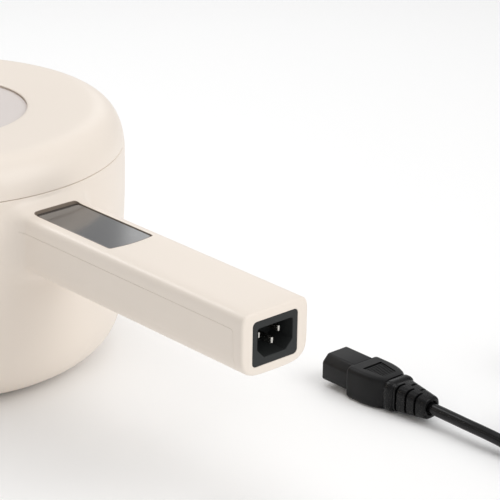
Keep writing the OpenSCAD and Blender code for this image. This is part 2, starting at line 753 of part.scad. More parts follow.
module steam_vent_cap() color(cream) translate([-vent_r, 0, 0]) difference() {
    union() {
        translate([0, 0, top_z - 8]) cylinder(r = vent_hole_r - 0.1, h = 9);
        spin([[0, top_z], [7.6, top_z], [7.6, top_z + 1.6], [6, top_z + 3], [0, top_z + 3]]);
    }
    translate([0, 0, top_z - 8 - over]) cylinder(r = 2.4, h = 9.5);
    for (a = [0, 90]) rotate(a) translate([-10, -0.8, top_z + 0.6]) cube([20, 1.6, 1]);
}

// ---------- Mains lead ----------

module on_lead() translate([lead_x, lead_y, lead_z]) children();
module lead_along_x(x0, x1) translate([x0, 0, 0]) rotate([90, 0, 90])
    linear_extrude(x1 - x0) children();

// The connector lies with its keyed corners and its earth slot up
module contact_slots(w, h, x0, x1) {
    for (y = [-pin_side, pin_side]) translate([x0, y - w / 2, block_up - pin_up - h / 2])
        cube([x1 - x0, w, h]);
    translate([x0, -w / 2, block_up + pin_up - h / 2]) cube([x1 - x0, w, h]);
}

module grip_outline() polygon(concat(
    [[block_len, -grip_w / 2]],
    arc([block_len + 10, -grip_w / 2 + 12], 12, -90, -30, 5),
    [[collar_x, -collar_w / 2 + 1.5], [collar_x, collar_w / 2 - 1.5]],
    arc([block_len + 10, grip_w / 2 - 12], 12, 30, 90, 5),
    [[block_len, grip_w / 2]]));

module connector_body() color(black) on_lead() difference() {
    union() {
        translate([0, 0, block_up]) lead_along_x(0, block_len + over) mirror([0, 1])
            keyed_rect(block_w, block_h, block_key);
        translate([0, 0, -grip_h / 2]) linear_extrude(grip_h) grip_outline();
    }
    contact_slots(contact_w, contact_h, -over, contact_depth);
    // ribbed finger recesses above and below
    for (s = [-1, 1]) translate([0, 0, s * grip_h / 2 - 0.6]) linear_extrude(1.2)
        polygon([[block_len + 8, -7.7], [block_len + 8, 7.7], [collar_x - 5, 5.2],
            [collar_x - 5, -5.2]]);
}

module connector_contacts() color(brass) on_lead() difference() {
    contact_slots(contact_w, contact_h, 3, contact_depth);
    contact_slots(pin_t + 0.1, pin_h + 0.1, 2, contact_depth - 1);
}

module connector_strain_relief() color(black) on_lead() {
    lead_along_x(collar_x, collar_x + collar_len) rounded_rect(collar_w, collar_h, 5);
    rotate([0, 90, 0]) spin([[0, collar_x + collar_len], [7.6, collar_x + collar_len],
        [7.2, collar_x + 14], [5.6, collar_x + 14], [5.6, collar_x + 15.6],
        [7, collar_x + 15.6], [6.6, collar_x + 22], [5.2, collar_x + 22],
        [5.2, collar_x + 23.6], [6.4, collar_x + 23.6], [6, relief_end], [0, relief_end]]);
}

module lead_run() color(black) tube(run_points, cord_r, cord_sides);

module lead_coil() color(black) translate([coil_x, coil_y, tie_t]) spin([
    [coil_in_r, 0], [coil_out_r, 0], [coil_out_r, coil_h], [coil_in_r, coil_h]]);

module lead_tie() color([0.08, 0.08, 0.08]) translate([coil_x, coil_y, 0]) rotate(215)
    translate([(coil_in_r + coil_out_r) / 2 - 0.15, 0, tie_t + coil_h / 2]) difference() {
        cube([coil_out_r - coil_in_r + 2 * tie_t + 0.6, 9, coil_h + 2 * tie_t], center = true);
        cube([coil_out_r - coil_in_r + 0.6, 10, coil_h], center = true);
    }

module lead_tail() color(black) tube(tail_points, cord_r, cord_sides);

module on_plug() translate(tail_point(tail_len)) rotate(plug_angle) rotate([0, 90, 0])
    children();

module plug_strain_relief() color(black) on_plug()
    spin([[0, 0], [5, 0], [6.2, 12], [7.6, 24], [8.6, plug_relief_len], [0, plug_relief_len]]);

module plug_body() color(black) on_plug() difference() {
    translate([0, 0, plug_relief_len]) spin([[0, 0], [10, 0], [14, 4], [plug_r, 12],
        [plug_r, plug_len], [0, plug_len]]);
    for (y = [-plug_pin_side, plug_pin_side]) translate([0, y, plug_relief_len + plug_len - 12])
        cylinder(r = plug_pin_r, h = 20);
}

module plug_pins() color(steel) on_plug() for (y = [-plug_pin_side, plug_pin_side])
    translate([0, y, plug_relief_len + plug_len - 12]) {
        cylinder(r = plug_pin_r, h = 12 + plug_pin_len - 1.2);
        translate([0, 0, 12 + plug_pin_len - 1.2]) cylinder(r1 = plug_pin_r, r2 = 1.4, h = 1.2);
    }

outer_shell();
pot_seat_ring();
base_cover();
base_screws();
feet();
heat_shield();
shield_posts();
heating_plate();
plate_screws();
heating_element();
thermal_fuse();
sensor_guide();
sensor_spring();
sensor_cap();
sensor_bead();
handle_lower_cover();
handle_screws();
touch_glass();
display_module();
control_board();
control_chips();
power_board();
power_relay();
power_capacitors();
inlet_body();
inlet_pins();
wire_harness();
inner_pot();
lid_shell();
lid_inset_disc();
lid_liner();
liner_screws();
lid_seal();
lid_knob();
knob_screw();
knob_washer();
steam_vent_cap();
vent_grommet();
connector_body();
connector_contacts();
connector_strain_relief();
lead_run();
lead_coil();
lead_tie();
lead_tail();
plug_strain_relief();
plug_body();
plug_pins();
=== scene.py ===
import math

import bmesh
import bpy
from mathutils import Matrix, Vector


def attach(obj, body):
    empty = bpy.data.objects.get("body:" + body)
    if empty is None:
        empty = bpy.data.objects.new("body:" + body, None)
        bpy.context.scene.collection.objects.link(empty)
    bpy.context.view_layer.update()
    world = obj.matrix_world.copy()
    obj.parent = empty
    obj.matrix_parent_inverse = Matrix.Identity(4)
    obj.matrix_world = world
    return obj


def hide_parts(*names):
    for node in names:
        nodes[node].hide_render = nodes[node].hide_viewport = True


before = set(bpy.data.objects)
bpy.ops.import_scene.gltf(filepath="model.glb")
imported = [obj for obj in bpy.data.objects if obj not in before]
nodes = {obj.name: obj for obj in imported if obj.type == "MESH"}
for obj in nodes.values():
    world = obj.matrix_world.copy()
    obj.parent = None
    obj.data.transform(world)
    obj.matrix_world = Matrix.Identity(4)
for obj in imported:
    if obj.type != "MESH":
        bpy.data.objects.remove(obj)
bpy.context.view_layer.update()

# Round electric cooking pot with a lid, one long hollow handle and a loose
# mains lead. Everything is in metres; sizes written in millimetres carry mm.
mm = 0.001

# ---------- Camera ----------
# A long lens that looks down on the handle's end, framed so that the pot's
# left side is cut off.
view_azimuth = math.radians(50.0)
view_elevation = math.radians(21.8)
back = Vector((math.sin(view_azimuth) * math.cos(view_elevation),
               -math.cos(view_azimuth) * math.cos(view_elevation),
               math.sin(view_elevation)))
camera = bpy.data.objects.new("camera", bpy.data.cameras.new("camera"))
bpy.context.scene.collection.objects.link(camera)
bpy.context.scene.camera = camera
camera.location = (1.0905, -0.7426, 0.5861)
camera.rotation_mode = "QUATERNION"
camera.rotation_quaternion = (-back).to_track_quat("-Z", "Y")
camera.data.sensor_width = 36
camera.data.lens = 166.4
camera.data.shift_x = 0.2

# ---------- Mains cord ----------
# Three-core flexible cord in a smooth round PVC sheath, 7 mm thick and about
# 1.5 m long. It leaves the connector, drops to the worktop and is wound up
# into a tied coil; the plug lies beside the coil.
cord_d = 7 * mm
run_points = [Vector(p) * mm for p in (
    (278, 150, 10), (286, 150, 10), (296, 150, 9.9), (306, 150, 9.8), (316, 150.3, 9.6),
    (326, 150.8, 9.1), (336, 151.6, 7.9), (346, 152.6, 6.2), (358, 153.6, 4.7), (372, 154, 4.3))]

coil_centre = Vector((372, 196, 0)) * mm
coil_start, coil_end = -90, 5 * 360 + 75
outer_turn, inner_turn = 42 * mm, 35 * mm
layers = [4.3 * mm, 11.3 * mm, 18.3 * mm]
# each place in the bundle holds one turn: its radius and its height
places = [(outer_turn, layers[0]), (inner_turn, layers[0]), (inner_turn, layers[1]),
          (outer_turn, layers[1]), (inner_turn, layers[2]), (outer_turn, layers[2])]
first_shift, shift_lead, shift_angle = 170, 22.5, 100


def eased(x):
    """0 to 1 with soft ends."""
    x = max(0.0, min(1.0, x))
    return x * x * (3 - 2 * x)


def coil_point(degrees):
    """Where the cord's middle is after it has turned that far round the coil."""
    step = sum(eased((degrees - (first_shift + (360 - shift_lead) * k)) / shift_angle)
               for k in range(len(places) - 1))
    here = min(int(step), len(places) - 2)
    share = step - here
    radius, height = [a + (b - a) * share for a, b in zip(places[here], places[here + 1])]
    turn = math.radians(degrees)
    return coil_centre + Vector((radius * math.cos(turn), radius * math.sin(turn), height))


def smooth_through(points, steps):
    """A finer line that runs smoothly through the points."""
    line = []
    for i in range(len(points) - 1):
        a, b, c, d = (points[max(i - 1, 0)], points[i], points[i + 1],
                      points[min(i + 2, len(points) - 1)])
        for k in range(steps):
            t = k / steps
            line.append(0.5 * (2 * b + (c - a) * t + (2 * a - 5 * b + 4 * c - d) * t * t
                               + (3 * b - a - 3 * c + d) * t ** 3))
    return line + [points[-1]]


tail_way = Vector((math.cos(math.radians(165)), math.sin(math.radians(165)), 0))
tail_start = coil_point(coil_end)
plug_start = tail_start + tail_way * 32 * mm + Vector((0, 0, 0.2 * mm))
coil_line = [coil_point(coil_start + 6 * k) for k in range(1, (coil_end - coil_start) // 6 + 1)]
cord_line = (smooth_through(run_points, 4) + coil_line
             + smooth_through([tail_start, tail_start.lerp(plug_start, 0.5), plug_start], 4)[1:])

cord_curve = bpy.data.curves.new("mains_cord", "CURVE")
cord_curve.dimensions = "3D"
cord_curve.bevel_depth = cord_d / 2
cord_curve.bevel_resolution = 6
spline = cord_curve.splines.new("POLY")
spline.points.add(len(cord_line) - 1)
for point, place in zip(spline.points, cord_line):
    point.co = (*place, 1)
spline.use_smooth = True
mains_cord = bpy.data.objects.new("mains_cord", cord_curve)
bpy.context.scene.collection.objects.link(mains_cord)


def linear(hex_colour):
    """An sRGB hex colour as the linear values that shaders take."""
    parts = [int(hex_colour[i:i + 2], 16) / 255 for i in (0, 2, 4)]
    return tuple(c / 12.92 if c <= 0.04045 else ((c + 0.055) / 1.055) ** 2.4
                 for c in parts) + (1.0,)


def add_node(material, kind, settings=None, links=None):
    """Adds a node, sets its inputs or its own settings, and links its inputs."""
    node = material.node_tree.nodes.new(kind)
    for name, value in (settings or {}).items():
        if isinstance(name, str) and hasattr(node, name):
            setattr(node, name, value)
        else:
            node.inputs[name].default_value = value
    for name, socket in (links or {}).items():
        material.node_tree.links.new(socket, node.inputs[name])
    return node


def new_material(name, **settings):
    """A material with one shader, whose constant inputs are set on the shader itself."""
    material = bpy.data.materials.new(name)
    material.use_nodes = True
    shader = material.node_tree.nodes["Principled BSDF"]
    for key, value in settings.items():
        shader.inputs[key.replace("_", " ").title().replace("Ior", "IOR")].default_value = value
    return material, shader


def place_on(material):
    """The place on the piece, for textures that are fixed to it."""
    return add_node(material, "ShaderNodeTexCoord").outputs["Object"]


def noise(material, place, size, detail):
    """Soft random marks of that size in metres, from 0 to 1."""
    return add_node(material, "ShaderNodeTexNoise", {"Scale": 1 / size, "Detail": detail},
                    {"Vector": place}).outputs["Fac"]


def mixed(material, first, second, share):
    """From the first colour to the second."""
    return add_node(material, "ShaderNodeMix", {"data_type": "RGBA", 6: first, 7: second},
                    {0: share}).outputs[2]


def paint(material, shader, colour):
    material.node_tree.links.new(colour, shader.inputs["Base Color"])


def worn(material, shader, marks, low, high):
    """Lets the roughness go from low to high with the marks."""
    spread = add_node(material, "ShaderNodeMapRange", {"To Min": low, "To Max": high},
                      {"Value": marks})
    material.node_tree.links.new(spread.outputs["Result"], shader.inputs["Roughness"])


def raised(material, shader, marks, depth, strength=1.0):
    """Lets the marks stand in the surface, depth in metres."""
    bump = add_node(material, "ShaderNodeBump", {"Strength": strength, "Distance": depth},
                    {"Height": marks})
    material.node_tree.links.new(bump.outputs["Normal"], shader.inputs["Normal"])


def moulded(name, colour, roughness, grain, depth, drift=0.03, **settings):
    """Moulded plastic or rubber: the mould's spark-eroded grain stands in its surface, grain
    and depth in metres, and the colour drifts a little from place to place."""
    material, shader = new_material(name, **settings)
    place = place_on(material)
    dark = tuple(c * (1 - drift) for c in linear(colour)[:3]) + (1.0,)
    pale = tuple(min(1.0, c * (1 + drift)) for c in linear(colour)[:3]) + (1.0,)
    paint(material, shader, mixed(material, dark, pale, noise(material, place, 60 * mm, 2.0)))
    pits = noise(material, place, grain, 3.0)
    worn(material, shader, pits, roughness - 0.04, roughness + 0.06)
    raised(material, shader, pits, depth)
    return material


def dress(piece, material):
    """Gives a piece or a CAD node one material all over."""
    piece.data.materials.clear()
    piece.data.materials.append(material)
    return piece


# Extruded PVC sheath: glossy black, with the slight unevenness of the cores under it.
# The ripple is 9 mm long, a tenth of a millimetre deep.
cord_sheath = moulded("extruded_pvc_sheath", "0e0e0f", 0.2, 9 * mm, 0.04 * mm,
                      Specular_IOR_Level=0.25)
dress(mains_cord, cord_sheath)

# ---------- Connector ----------
# The lead's appliance connector, moulded round the brass contacts in black PVC:
# a keyed block that enters the inlet, a wider grip with ribbed finger recesses,
# and a collar with a slotted strain relief behind it.
lead_origin = Vector((200, 150, 10))


def rounded(corners, steps=5):
    """A closed outline through corners (x, y, radius), each corner replaced by an arc."""
    points = []
    for i, (x, y, radius) in enumerate(corners):
        here = Vector((x, y))
        if radius == 0:
            points.append(here)
            continue
        before = (Vector(corners[i - 1][:2]) - here).normalized()
        after = (Vector(corners[(i + 1) % len(corners)][:2]) - here).normalized()
        half = before.angle(after) / 2
        centre = here + (before + after).normalized() * radius / math.sin(half)
        start = here + before * radius / math.tan(half) - centre
        end = here + after * radius / math.tan(half) - centre
        first = math.atan2(start.y, start.x)
        turn = (math.atan2(end.y, end.x) - first + math.pi) % (2 * math.pi) - math.pi
        points += [centre + radius * Vector((math.cos(first + turn * k / steps),
                                             math.sin(first + turn * k / steps)))
                   for k in range(steps + 1)]
    return points


def box_corners(width, height, radius):
    """Corners for rounded(): a rectangle about its middle, all corners alike."""
    return [(sx * width / 2, sy * height / 2, radius)
            for sx, sy in ((1, 1), (-1, 1), (-1, -1), (1, -1))]


def solid(name, *shells, sharp=35):
    """A piece from closed shells. A shell is a list of equal loops of points, in
    millimetres, with quads from loop to loop; its ends are capped, or meet each
    other when it is given as (loops, True)."""
    points, faces = [], []
    for shell in shells:
        loops, ring = shell if isinstance(shell, tuple) else (shell, False)
        base, n, rows = len(points), len(loops[0]), len(loops)
        points += [Vector(p) * mm for loop in loops for p in loop]
        for i in range(rows if ring else rows - 1):
            a, b = base + i * n, base + (i + 1) % rows * n
            faces += [(a + k, a + (k + 1) % n, b + (k + 1) % n, b + k) for k in range(n)]
        if not ring:
            faces += [tuple(base + k for k in reversed(range(n))),
                      tuple(base + (rows - 1) * n + k for k in range(n))]
    mesh = bpy.data.meshes.new(name)
    mesh.from_pydata(points, [], faces)
    shape = bmesh.new()
    shape.from_mesh(mesh)
    bmesh.ops.recalc_face_normals(shape, faces=shape.faces)
    shape.to_mesh(mesh)
    shape.free()
    piece = bpy.data.objects.new(name, mesh)
    bpy.context.scene.collection.objects.link(piece)
    return smooth(piece, sharp)


def smooth(piece, sharp=35):
    """Smooth shading, broken at edges that turn by more than sharp degrees."""
    piece.data.shade_smooth()
    piece.data.set_sharp_from_angle(angle=math.radians(sharp))
    return piece


def cut(piece, *cutters, keep=False, sharp=35):
    """Cuts closed solids out of a piece, or keeps only what lies inside them."""
    for cutter in cutters:
        step = piece.modifiers.new("cut", "BOOLEAN")
        step.operation = "INTERSECT" if keep else "DIFFERENCE"
        step.solver = "EXACT"
        step.use_self = True
        step.object = cutter
    bpy.context.view_layer.update()
    ready = piece.evaluated_get(bpy.context.evaluated_depsgraph_get())
    mesh = bpy.data.meshes.new_from_object(ready)
    piece.modifiers.clear()
    piece.data = mesh
    mesh.name = piece.name
    for cutter in cutters:
        bpy.data.objects.remove(cutter)
    return smooth(piece, sharp)


def across_x(outline, x, origin=(0, 0, 0)):
    """An outline of (y, z) points as a loop at that x."""
    return [(origin[0] + x, origin[1] + p[0], origin[2] + p[1]) for p in outline]


def shrunk(outline, by):
    """The outline moved inwards by about that much, towards its middle line."""
    n = len(outline)
    middle = sum((Vector(p) for p in outline), Vector((0, 0))) / n
    wide = max(abs(p[0] - middle[0]) for p in outline)
    high = max(abs(p[1] - middle[1]) for p in outline)
    return [Vector((middle[0] + (p[0] - middle[0]) * (1 - by / wide),
                    middle[1] + (p[1] - middle[1]) * (1 - by / high))) for p in outline]


def rounded_bar(outline_at, x0, x1, edge0, edge1, origin, stations=()):
    """Loops along X whose ends are rounded off by edge0 and edge1. outline_at(x) gives
    the outline there."""
    loops = []
    for k in range(4):
        a = math.radians(30 * k)
        loops.append(across_x(shrunk(outline_at(x0), edge0 * (1 - math.sin(a))),
                              x0 + edge0 * (1 - math.cos(a)), origin))
    for x in stations:
        loops.append(across_x(outline_at(x), x, origin))
    for k in reversed(range(4)):
        a = math.radians(30 * k)
        loops.append(across_x(shrunk(outline_at(x1), edge1 * (1 - math.sin(a))),
                              x1 - edge1 * (1 - math.cos(a)), origin))
    return loops


block_w, block_h, block_len, block_key = 24, 15.8, 21, 4.4
grip_w, grip_h, grip_end, collar_end = 26.4, 20, 48, 55
block_up = (grip_h - block_h) / 2
block_outline = [p + Vector((0, block_up)) for p in rounded([
    (-block_w / 2, -block_h / 2, 1.5), (block_w / 2, -block_h / 2, 1.5),
    (block_w / 2, block_h / 2 - block_key, 2.5), (block_w / 2 - block_key, block_h / 2, 2.5),
    (block_key - block_w / 2, block_h / 2, 2.5), (-block_w / 2, block_h / 2 - block_key, 2.5)])]


def grip_outline(x):
    """The grip keeps its width for a third of its length, then rounds in to the collar."""
    share = min(1.0, max(0.0, (x - 31) / (grip_end - 31)))
    width = grip_w - (grip_w - 13) * (1 - math.sqrt(1 - share ** 2 * 0.96))
    return rounded(box_corners(width, grip_h - 0.8 * share ** 2, 3.2))


grip_stations = [block_len + 2.4 + 1.6 * k for k in range(15)]
connector = solid(
    "connector",
    rounded_bar(lambda x: block_outline, 0, block_len + 1, 0.8, 0.01, lead_origin),
    rounded_bar(grip_outline, block_len, grip_end + 0.4, 1.5, 0.01, lead_origin, grip_stations),
    sharp=40)


def slab(name, outline, z0, z1, origin=(0, 0, 0)):
    """A prism: an outline of (x, y) points from z0 up to z1."""
    return solid(name, [[(origin[0] + p[0], origin[1] + p[1], origin[2] + z) for p in outline]
                        for z in (z0, z1)])


def blade_outline(side, up, width, height):
    return [(side + sx * width / 2, up + sz * height / 2)
            for sx, sz in ((1, 1), (-1, 1), (-1, -1), (1, -1))]


blades = ((-7, 2), (7, 2), (0, -2))
recess_z = grip_h / 2 - 0.9
recess = rounded([(block_len + 8, -7.7, 0.5), (grip_end - 4, -5.2, 0.5),
                  (grip_end - 4, 5.2, 0.5), (block_len + 8, 7.7, 0.5)], 2)
slots = [solid("slot", [across_x(blade_outline(y, block_up - z, 2.8, 4.8), x, lead_origin)
                        for x in (-1, 18)]) for y, z in blades]
cut(connector, *slots, slab("recess", recess, recess_z, 12, lead_origin),
    slab("recess_below", recess, -12, -recess_z, lead_origin), sharp=40)

rib_rows = [block_len + 10 + 1.5 * k for k in range(9)]
ribs = []
for x in rib_rows:
    half = 6.9 - 2.2 * (x - rib_rows[0]) / (rib_rows[-1] - rib_rows[0])
    for z0, z1 in ((recess_z - 0.2, recess_z + 0.5), (-recess_z - 0.5, -recess_z + 0.2)):
        ribs.append([[(lead_origin[0] + x + sx * w, lead_origin[1] + sy * half,
                       lead_origin[2] + z) for sx, sy in ((1, 1), (-1, 1), (-1, -1), (1, -1))]
                     for z, w in ((z0, 0.5), (z1, 0.35))])
grip_ribs = solid("grip_ribs", *ribs)


def stand_in(piece, material, body, slot_name, *cad_nodes):
    """Gives a piece its material and its body, and hides the CAD nodes that it stands for. slot_name
    is not used.
    """
    dress(piece, material)
    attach(piece, body)
    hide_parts(*cad_nodes)


# Moulded PVC: satin black with a fine spark-eroded grain, which takes the shine off
# all but the collar.
connector_pvc = moulded("moulded_pvc", "111112", 0.4, 0.6 * mm, 0.02 * mm,
                        Specular_IOR_Level=0.2)
for piece in (connector, grip_ribs):
    stand_in(piece, connector_pvc, "mains_lead", "connector_pvc", "connector_body")

# The strain relief: a smooth collar, then a square sleeve on a core, slotted from its two
# sides in turn so that it bends evenly, with a small well round the cord at its end.
collar_outline = rounded(box_corners(20.6, 18.8, 4.5), 6)
core_r, slot_t, relief_end = 4.9, 1.5, 78


def round_outline(radius, first=0, turn=345, steps=23):
    """Points on a circle about the lead's axis, from first on through turn degrees."""
    return [Vector((radius * math.cos(a), radius * math.sin(a)))
            for a in (math.radians(first + turn * k / steps) for k in range(steps + 1))]


def sleeve_outline(x):
    """The sleeve narrows and gets rounder towards the cord."""
    share = (x - collar_end) / (relief_end - collar_end)
    return rounded(box_corners(17.2 - 4 * share, 16.8 - 3.4 * share, 4 + share))


def half_slot(x, side):
    """A slot round one half of the sleeve, down to its core."""
    half = [Vector((side * y, z)) for y, z in ((12, 12), (12, -12), (0.7, -12))]
    half += [Vector((side * abs(p[0]) + side * 0.7, p[1]))
             for p in round_outline(core_r, -90, 180, 12)] + [Vector((side * 0.7, 12))]
    return solid("slot", [across_x(half, x + t, lead_origin) for t in (0, slot_t)])


connector_relief = solid(
    "connector_relief",
    rounded_bar(sleeve_outline, collar_end - 1, relief_end, 0.01, 1.4, lead_origin))
well = solid("well", [across_x(round_outline(4.7), x, lead_origin) for x in (relief_end - 1.8, 82)])
cut(connector_relief, well,
    *[half_slot(collar_end + x, side) for x, side in
      ((1.4, -1), (8.6, -1), (5, 1), (12.2, 1), (15.2, -1))])
relief_collar = solid(
    "relief_collar",
    rounded_bar(lambda x: collar_outline, grip_end, collar_end, 2, 2.4, lead_origin),
    [across_x(round_outline(cord_d / mm / 2), x, lead_origin) for x in (relief_end - 3, relief_end)])
relief_pvc = moulded("moulded_relief_pvc", "0e0e0f", 0.27, 0.9 * mm, 0.015 * mm,
                     Specular_IOR_Level=0.2)
for piece in (connector_relief, relief_collar):
    stand_in(piece, relief_pvc, "mains_lead", "relief_pvc", "connector_strain_relief")

# Formed brass contacts deep in the block's three slots.
# Brass: yellow metal, drawn and bent, with faint rolling lines 0.3 mm apart.


def metal(name, colour, roughness, grain, depth, stretch=(1, 1, 1)):
    """Bare or plated metal: fine marks of its making, stretched where it was brushed, turned
    or rolled; grain and depth in metres."""
    material, shader = new_material(name, Metallic=1.0)
    pull = add_node(material, "ShaderNodeMapping", {"Scale": stretch},
                    {"Vector": place_on(material)})
    marks = noise(material, pull.outputs["Vector"], grain, 4.0)
    dark = tuple(c * 0.82 for c in linear(colour)[:3]) + (1.0,)
    paint(material, shader, mixed(material, dark, linear(colour), marks))
    worn(material, shader, marks, roughness * 0.8, roughness * 1.25)
    raised(material, shader, marks, depth)
    return material


dress(nodes["connector_contacts"],
      metal("formed_brass", "d6b45c", 0.28, 0.3 * mm, 0.004 * mm, (1, 8, 8)))

# ---------- Wall plug ----------
# Round two-pin plug moulded on the cord's far end in the same PVC, with a ribbed
# tapered sleeve and nickel-plated brass pins.
plug_across = Vector((-tail_way.y, tail_way.x, 0))


def round_loop(along, radius, n=64, side=0.0):
    """A circle round the plug's axis, in millimetres along it and to its side."""
    centre = plug_start / mm + tail_way * along + plug_across * side
    return [centre + radius * (plug_across * math.cos(2 * math.pi * k / n)
                               + Vector((0, 0, math.sin(2 * math.pi * k / n))))
            for k in range(n)]


sleeve_len, plug_end = 34, 70
sleeve_line = [(0, 4.6), (0.5, 5)]
for k in range(6):
    x = 2.5 + 5 * k
    r = 5.3 + 0.105 * x
    sleeve_line += [(x, r), (x + 0.3, r - 0.7), (x + 1.3, r - 0.7), (x + 1.6, r)]
sleeve_line += [(sleeve_len, 8.8)]
plug_sleeve = solid("plug_sleeve", [round_loop(x, r) for x, r in sleeve_line])
plug_line = [(sleeve_len, 9.4), (sleeve_len + 0.6, 10)]
for k in range(9):
    a = math.radians(11.25 * k)
    plug_line.append((sleeve_len + 2 + 12 * (1 - math.cos(a)) ** 0.8, 10.4 + 7.7 * math.sin(a)))
plug_line += [(plug_end - 1.6, 18.1), (plug_end - 0.6, 17.8), (plug_end - 0.1, 17.1),
              (plug_end, 16.3)]
plug_body = solid("plug", [round_loop(x, r) for x, r in plug_line])
grip_rings = [([round_loop(52 + 3.2 * k + x, r) for x, r in
                ((0, 17.6), (0.2, 18.5), (1.4, 18.5), (1.6, 17.6))], True) for k in range(4)]
plug_rings = solid("plug_grip_rings", *grip_rings)
pin_line = [(58, 2.4), (87.4, 2.4), (88.3, 2.1), (88.8, 1.5), (89, 0.8)]
plug_pins = solid("plug_pins_rounded", *[[round_loop(x, r, 32, side) for x, r in pin_line]
                                         for side in (-9.5, 9.5)])
for piece, cad_node, slot_name in ((plug_sleeve, "plug_strain_relief", "plug_relief_pvc"),
                                   (plug_body, "plug_body", "plug_pvc"),
                                   (plug_rings, "plug_body", "plug_pvc")):
    stand_in(piece, connector_pvc, "mains_lead", slot_name, cad_node)
# Nickel plate over brass: warm grey, bright, with light scuffs from use along the pin.
pin_nickel = metal("nickel_plated_brass", "d2cfc9", 0.2, 0.25 * mm, 0.003 * mm, (1, 6, 6))
stand_in(plug_pins, pin_nickel, "mains_lead", "plug_pin_nickel", "plug_pins")

# ---------- Tie ----------
# A soft hook-and-loop strap round one side of the coil, with its end folded over.
tie_turn = math.radians(215)
tie_out = Vector((math.cos(tie_turn), math.sin(tie_turn), 0))
tie_side = Vector((-tie_out.y, tie_out.x, 0))
tie_middle = coil_centre / mm + tie_out * 38.5 + Vector((0, 0, 11.3))
strap = []
for grow in (0.15, 0.95):
    outline = rounded(box_corners(14 + 2 * grow, 20.8 + 2 * grow, 3.2 + grow), 5)
    strap.append(outline)
strap_loops = [[tie_middle + tie_out * p[0] + Vector((0, 0, p[1])) + tie_side * s
                for p in outline] for outline, s in
               ((strap[0], -4.5), (strap[1], -4.3), (strap[1], 4.3), (strap[0], 4.5))]
flap = [[tie_middle + tie_out * x + Vector((0, 0, 11.5 + z)) + tie_side * y
         for x, y in ((5.4, 4.1), (-4.8, 4.1), (-5.6, 3), (-5.6, -3), (-4.8, -4.1), (5.4, -4.1))]
        for z in (-0.1, 0.6)]
cord_tie = solid("cord_tie", (strap_loops, True), flap)
# Woven nylon loop strap: dull black, a pile of loops about 0.8 mm apart.
tie_nylon = moulded("woven_nylon_strap", "1d1d1f", 0.85, 0.8 * mm, 0.25 * mm, 0.2)
stand_in(cord_tie, tie_nylon, "mains_lead", "tie_strap", "lead_tie")

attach(mains_cord, "mains_lead")
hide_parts("lead_run", "lead_coil", "lead_tail")

# ---------- Body ----------
# The drum: one injection-moulded shell in cream, its wall leaning in slightly to a
# large round bottom corner. The base opening is closed by a screwed cover.
body_r, body_taper, foot_h, corner_r = 117, 2.7, 2, 30
seam_z, seam_gap, lid_top = 132, 0.4, 154
shoulder_c, shoulder_w, shoulder_z, shoulder_h, shoulder_power = 95, 22, 123, 31, 2.5
corner_z = foot_h + corner_r
wall_z = shoulder_z - 11


def shoulder_radius(z, inset=0.0):
    """The squarish quarter-round that drum and lid share above the wall."""
    share = min(1.0, max(0.0, (z - shoulder_z) / (shoulder_h - inset)))
    return shoulder_c + (shoulder_w - inset) * (1 - share ** shoulder_power) ** (1 / shoulder_power)


def drum_radius(z):
    """The drum's outside at height z, between the bottom corner and the seam."""
    if z >= wall_z:
        return shoulder_radius(z)
    share = min(1.0, (wall_z - z) / (wall_z - corner_z))
    return body_r - body_taper * (1 - math.cos(math.pi * share)) / 2


def turned_shell(profile, sides, centre=(0, 0)):
    """Loops about an upright axis through centre, from (radius, height) points."""
    spokes = [(math.cos(2 * math.pi * k / sides), math.sin(2 * math.pi * k / sides))
              for k in range(sides)]
    return [[(centre[0] + r * c, centre[1] + r * s, z) for c, s in spokes] for r, z in profile]


def turned(name, profile, sides, hollow=False, centre=(0, 0)):
    """A turned piece. A hollow one has a closed profile that stays away from the axis."""
    return solid(name, (turned_shell(profile, sides, centre), hollow))


drum_top = seam_z - seam_gap / 2
wall_t = 2.6
corner_arc = [math.radians(a) for a in range(-90, 1, 6)]
corner_c = body_r - body_taper - corner_r
outside = [(80, foot_h + 0.4), (80.4, foot_h)]
outside += [(corner_c + corner_r * math.cos(a), corner_z + corner_r * math.sin(a))
            for a in corner_arc]
outside += [(drum_radius(z), z) for z in [corner_z + 5 * k for k in range(1, 20)]]
outside += [(drum_radius(z), z) for z in (129.5, drum_top - 0.4)]
outside += [(drum_radius(drum_top) - 0.12, drum_top - 0.12),
            (drum_radius(drum_top) - 0.4, drum_top)]
inner_r = corner_r - wall_t
inside = [(body_r - wall_t + 0.3, drum_top), (body_r - wall_t, drum_top - 0.3),
          (body_r - wall_t, 80)]
inside += [(corner_c + inner_r * math.cos(a), corner_z + inner_r * math.sin(a))
           for a in reversed(corner_arc[5:])]
inside += [(70, 7), (70, 4.4), (80, 4.4)]
drum = turned("drum", outside + inside, 256, True)

# Moulded ABS: cream, half matt, with the tight grain of a spark-eroded mould (0.5 mm
# here, so that it can be seen) and a soft broad sheen.
cream_abs = moulded("moulded_cream_abs", "efe4d8", 0.38, 0.5 * mm, 0.006 * mm, 0.012,
                    IOR=1.5, Coat_Weight=0.12, Coat_Roughness=0.25)
stand_in(drum, cream_abs, "base", "body_shell", "outer_shell")

# ---------- Handle ----------
# The handle's upper half and its end wall are moulded in one with the drum and meet
# it in soft hollow curves. The lower half is a separate cover, screwed from below;
# the parting line runs along both sides and turns down just before the end.
handle_w, handle_h, handle_z, handle_end = 46, 36, 106, 305
split_z = handle_z + 8.9
blend_len, blend_side, blend_top = 12, 12, 7.6
end_edge, end_wall = 1.6, 298
ring_angles = [math.radians(1.875 + 3.75 * k) for k in range(96)]


def signed_power(v, p):
    return math.copysign(abs(v) ** p, v)


